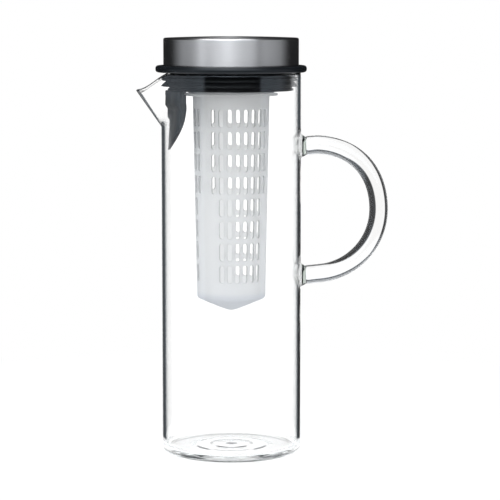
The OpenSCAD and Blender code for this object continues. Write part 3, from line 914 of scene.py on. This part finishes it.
# Infuser basket
# One moulding in frosted plastic: a threaded neck, a flange, a slightly tapered tube with three panels of
# slots, and a shallow cone as its bottom. It screws up into the plug.
tube_top_r = 26.05
tube_low_r = 23.4
flange_low = 244.3
flange_top = 245.7
flange_r = 31.7
neck_r = 24.4
neck_top = 256.5
basket_t = 1.5
corner_z = 108.1
cone_h = 10.3
corner_r = 2.5
slot_rows = 8
full_rows = 4
slot_cols = 8
slot_h = 11.9
slot_w = 3.2
slot_rise = 15.05
slot_angle = 12.8
slot_top = 235.7
slot_land = 0.5
slot_round = 0.18
slot_mid = 0.05
panels = 3
panel_turn = -73.0
panel_span = 120.0
div_a = 6
div_z = 8
plain_cols = 10
corner_steps = 9
cone_steps = 14
tip_soft = 3.0
tip_rise = 0.35
thread_z = 250.69

half_panel = slot_cols * slot_angle / 2
panel = np.concatenate([np.arange(slot_cols * div_a) * slot_angle / div_a - half_panel,
                        half_panel + np.arange(plain_cols) * (panel_span - 2 * half_panel) / plain_cols])
around = np.radians(np.concatenate([panel_turn + panel_span * turn + panel for turn in range(panels)]))
panel_cols = len(panel)
all_cols = len(around)
zone_top = slot_top + (slot_rise - slot_h) / 2
zone_low = zone_top - slot_rows * slot_rise
zone_z = np.linspace(zone_top, zone_low, slot_rows * div_z + 1)


def tube_radius(z):
    """The tube's outer radius: a straight taper from under the flange to the lower corner."""
    return tube_low_r + (tube_top_r - tube_low_r) * (z - corner_z) / (flange_low - corner_z)


def turned(outline):
    """An open outline in (r, z), turned round the axis on the basket's own columns."""
    r, z = outline[:, :1], outline[:, 1:]
    points = np.stack([r * np.cos(around), r * np.sin(around), z + 0.0 * around], -1)
    return points, quads(len(outline), all_cols)


# The plain lattice between the slots, outside and inside
row, col = np.meshgrid(np.arange(slot_rows * div_z), np.arange(all_cols), indexing="ij")
cell_col = col % panel_cols // div_a
cell_row = row // div_z
in_panel = col % panel_cols < slot_cols * div_a
short = (cell_row >= full_rows) & ((cell_col == 0) | (cell_col == slot_cols - 1))
plain = ~(in_panel & ~short).reshape(-1)


def lattice(depth):
    """The tube's lattice at a depth under its outside, without the cells that hold slots."""
    r = tube_radius(zone_z)[:, None] - depth
    points = np.stack([r * np.cos(around), r * np.sin(around), zone_z[:, None] + 0.0 * r * around], -1)
    faces = quads(len(zone_z), all_cols)[plain]
    return points, faces[:, ::-1] if depth == 0 else faces


# A slot in its cell: rings from the cell's edge to the round-ended hole, through the wall and out again
t_a, t_z = np.arange(div_a) / div_a, np.arange(div_z) / div_z
cell_a = np.concatenate([t_a - 0.5, np.full(div_z, 0.5), 0.5 - t_a, np.full(div_z, -0.5)])
cell_z = np.concatenate([np.full(div_a, -0.5), t_z - 0.5, np.full(div_a, 0.5), 0.5 - t_z])
arc = np.pi * np.arange(div_a) / div_a
straight_h = (slot_h - slot_w) / 2
hole_a = np.concatenate([-np.cos(arc), np.ones(div_z), np.cos(arc), -np.ones(div_z)])
hole_z = np.concatenate([-np.sin(arc), 0.0 * t_z, np.sin(arc), 0.0 * t_z])
hole_mid = np.concatenate([-np.ones(div_a), 2.0 * t_z - 1.0, np.ones(div_a), 1.0 - 2.0 * t_z]) * straight_h
outer_layers = ((slot_land, 0.0), (slot_round, 0.0), (slot_mid, slot_mid), (0.0, slot_round))
layers = outer_layers + tuple((spread, basket_t - depth) for spread, depth in outer_layers[::-1])
keep = np.array([(p, i, k) for p in range(panels) for i in range(slot_cols) for k in range(slot_rows)
                 if k < full_rows or 0 < i < slot_cols - 1])
from_middle = (keep[:, 1] - (slot_cols - 1) / 2) * slot_angle
slot_at = np.radians(panel_turn + panel_span * keep[:, 0] + from_middle)[:, None]
slot_z = (zone_top - (keep[:, 2] + 0.5) * slot_rise)[:, None]


def slot_ring(angle, z, depth):
    """A ring of points round every slot, at angles, heights and a depth under the tube's outside."""
    r = tube_radius(z) - depth
    return np.stack([r * np.cos(angle), r * np.sin(angle), z + 0.0 * r], -1)


edge_angle = slot_at + np.radians(slot_angle) * cell_a
edge_z = slot_z + slot_rise * cell_z
rings = [slot_ring(edge_angle, edge_z, 0.0)]
for spread, depth in layers:
    grown = slot_w / 2 + spread
    z = slot_z + hole_mid + grown * hole_z
    rings.append(slot_ring(slot_at + grown * hole_a / tube_radius(z), z, depth))
rings.append(slot_ring(edge_angle, edge_z, basket_t))
rings = np.stack(rings, 1)
slots, ring_count, ring_points = rings.shape[:3]
starts = np.arange(slots)[:, None, None] * ring_count * ring_points
slot_faces = (quads(ring_count, ring_points)[None] + starts).reshape(-1, 4)

cone_turn = math.atan2(cone_h, tube_low_r)
bend = -np.linspace(0.0, math.pi / 2 - cone_turn, corner_steps)


def low_end(shift):
    """The lower end of the tube at a depth under its outside: its corner as an arc, then the cone, softened
    at its tip by sqrt(r^2 + tip_soft^2)."""
    arc_r = corner_r - shift
    corner = np.stack([tube_low_r - corner_r + arc_r * np.cos(bend), corner_z + arc_r * np.sin(bend)], -1)
    r = np.linspace(corner[-1, 0], 0.0, cone_steps)[1:]
    fall = corner[-1, 0] - np.sqrt(r * r + tip_soft ** 2) + tip_rise
    tip = corner[-1, 1] - fall * math.tan(cone_turn)
    return np.concatenate([corner, np.stack([r, tip], -1)])


outer_low = np.concatenate([[[tube_radius(zone_low), zone_low]], low_end(0.0)])[::-1]
inner_low = np.concatenate([[[tube_radius(zone_low) - basket_t, zone_low]], low_end(basket_t)])
upper = soften([(tube_radius(zone_top), zone_top, 0.0), (tube_radius(flange_low), flange_low, fair),
                (flange_r, flange_low, small), (flange_r, flange_top, fair), (neck_r, flange_top, slight),
                (neck_r, neck_top, small), (neck_r - basket_t, neck_top, small),
                (neck_r - basket_t, flange_top, broad),
                (tube_radius(flange_low) - basket_t, flange_low, broad),
                (tube_radius(zone_top) - basket_t, zone_top, 0.0)])
basket = piece("basket_tube", [lattice(0.0), lattice(basket_t), (rings, slot_faces), turned(outer_low),
                               turned(inner_low), turned(upper), thread(neck_r, thread_out, thread_z)],
               "infuser")
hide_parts("infuser_basket")

# Painted light and shade go by the depth in the wall: the skin, painted shade on the slots' cut edges, and a
# lighter inside that is painted light. The closed lower end is a little greyer, by painted shade.
frosted = (0.992, 0.992, 0.996)
frosted_through = 0.7
# Painted tones by depth: shade on the slots' cut edges, light on the inside
wall_painted_tones = ((0.04, 0.87), (0.12, 0.58), (1.36, 0.58), (1.46, 0.99))
tone_span = 2.0
# Painted shade on the closed lower end, which fades out just above its corner
closed_end_painted_shade = (0.905, 0.916, 0.94)
painted_shade_fade = 3.5
frosted_plastic, tree, shader, out = moulded("frosted_plastic", frosted, roughness=0.42, grain=1800.0,
                                             depth=0.012)
at = object_place(tree)[1]
taper = (tube_top_r - tube_low_r) / (flange_low - corner_z)
skin = maths(tree, "MULTIPLY_ADD", at[2], taper, (tube_low_r - taper * corner_z) * mm)
depth = maths(tree, "SUBTRACT", skin, length(tree, at[0], at[1]))
depth = maths(tree, "MULTIPLY", depth, 1.0 / (tone_span * mm))
depth = maths(tree, "MULTIPLY", depth, maths(tree, "GREATER_THAN", at[2], corner_z * mm))
tone_with_painted_shade = ramp(tree, depth, [(deep / tone_span, tuple(level * part for part in frosted))
                          for deep, level in wall_painted_tones])
# The painted shade of the closed end, by height
height = maths(tree, "MULTIPLY_ADD", at[2], 1.0 / (painted_shade_fade * mm), -corner_z / painted_shade_fade)
painted_end_shade = ramp(tree, height, [(0.0, closed_end_painted_shade), (1.0, (1.0, 1.0, 1.0))])
tone_with_painted_shade = node(tree, "ShaderNodeVectorMath", {0: tone_with_painted_shade, 1: painted_end_shade}, operation="MULTIPLY").outputs[0]
tree.links.new(tone_with_painted_shade, shader.inputs["Base Color"])
glow = node(tree, "ShaderNodeBsdfTranslucent", {"Color": tone_with_painted_shade})
shown = node(tree, "ShaderNodeMixShader", {0: frosted_through, 1: shader.outputs[0], 2: glow.outputs[0]})
tree.links.new(shown.outputs[0], out.inputs["Surface"])
basket.data.materials.append(frosted_plastic)

# Sizes
# The dressed model's box, over its shown pieces.
low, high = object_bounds()
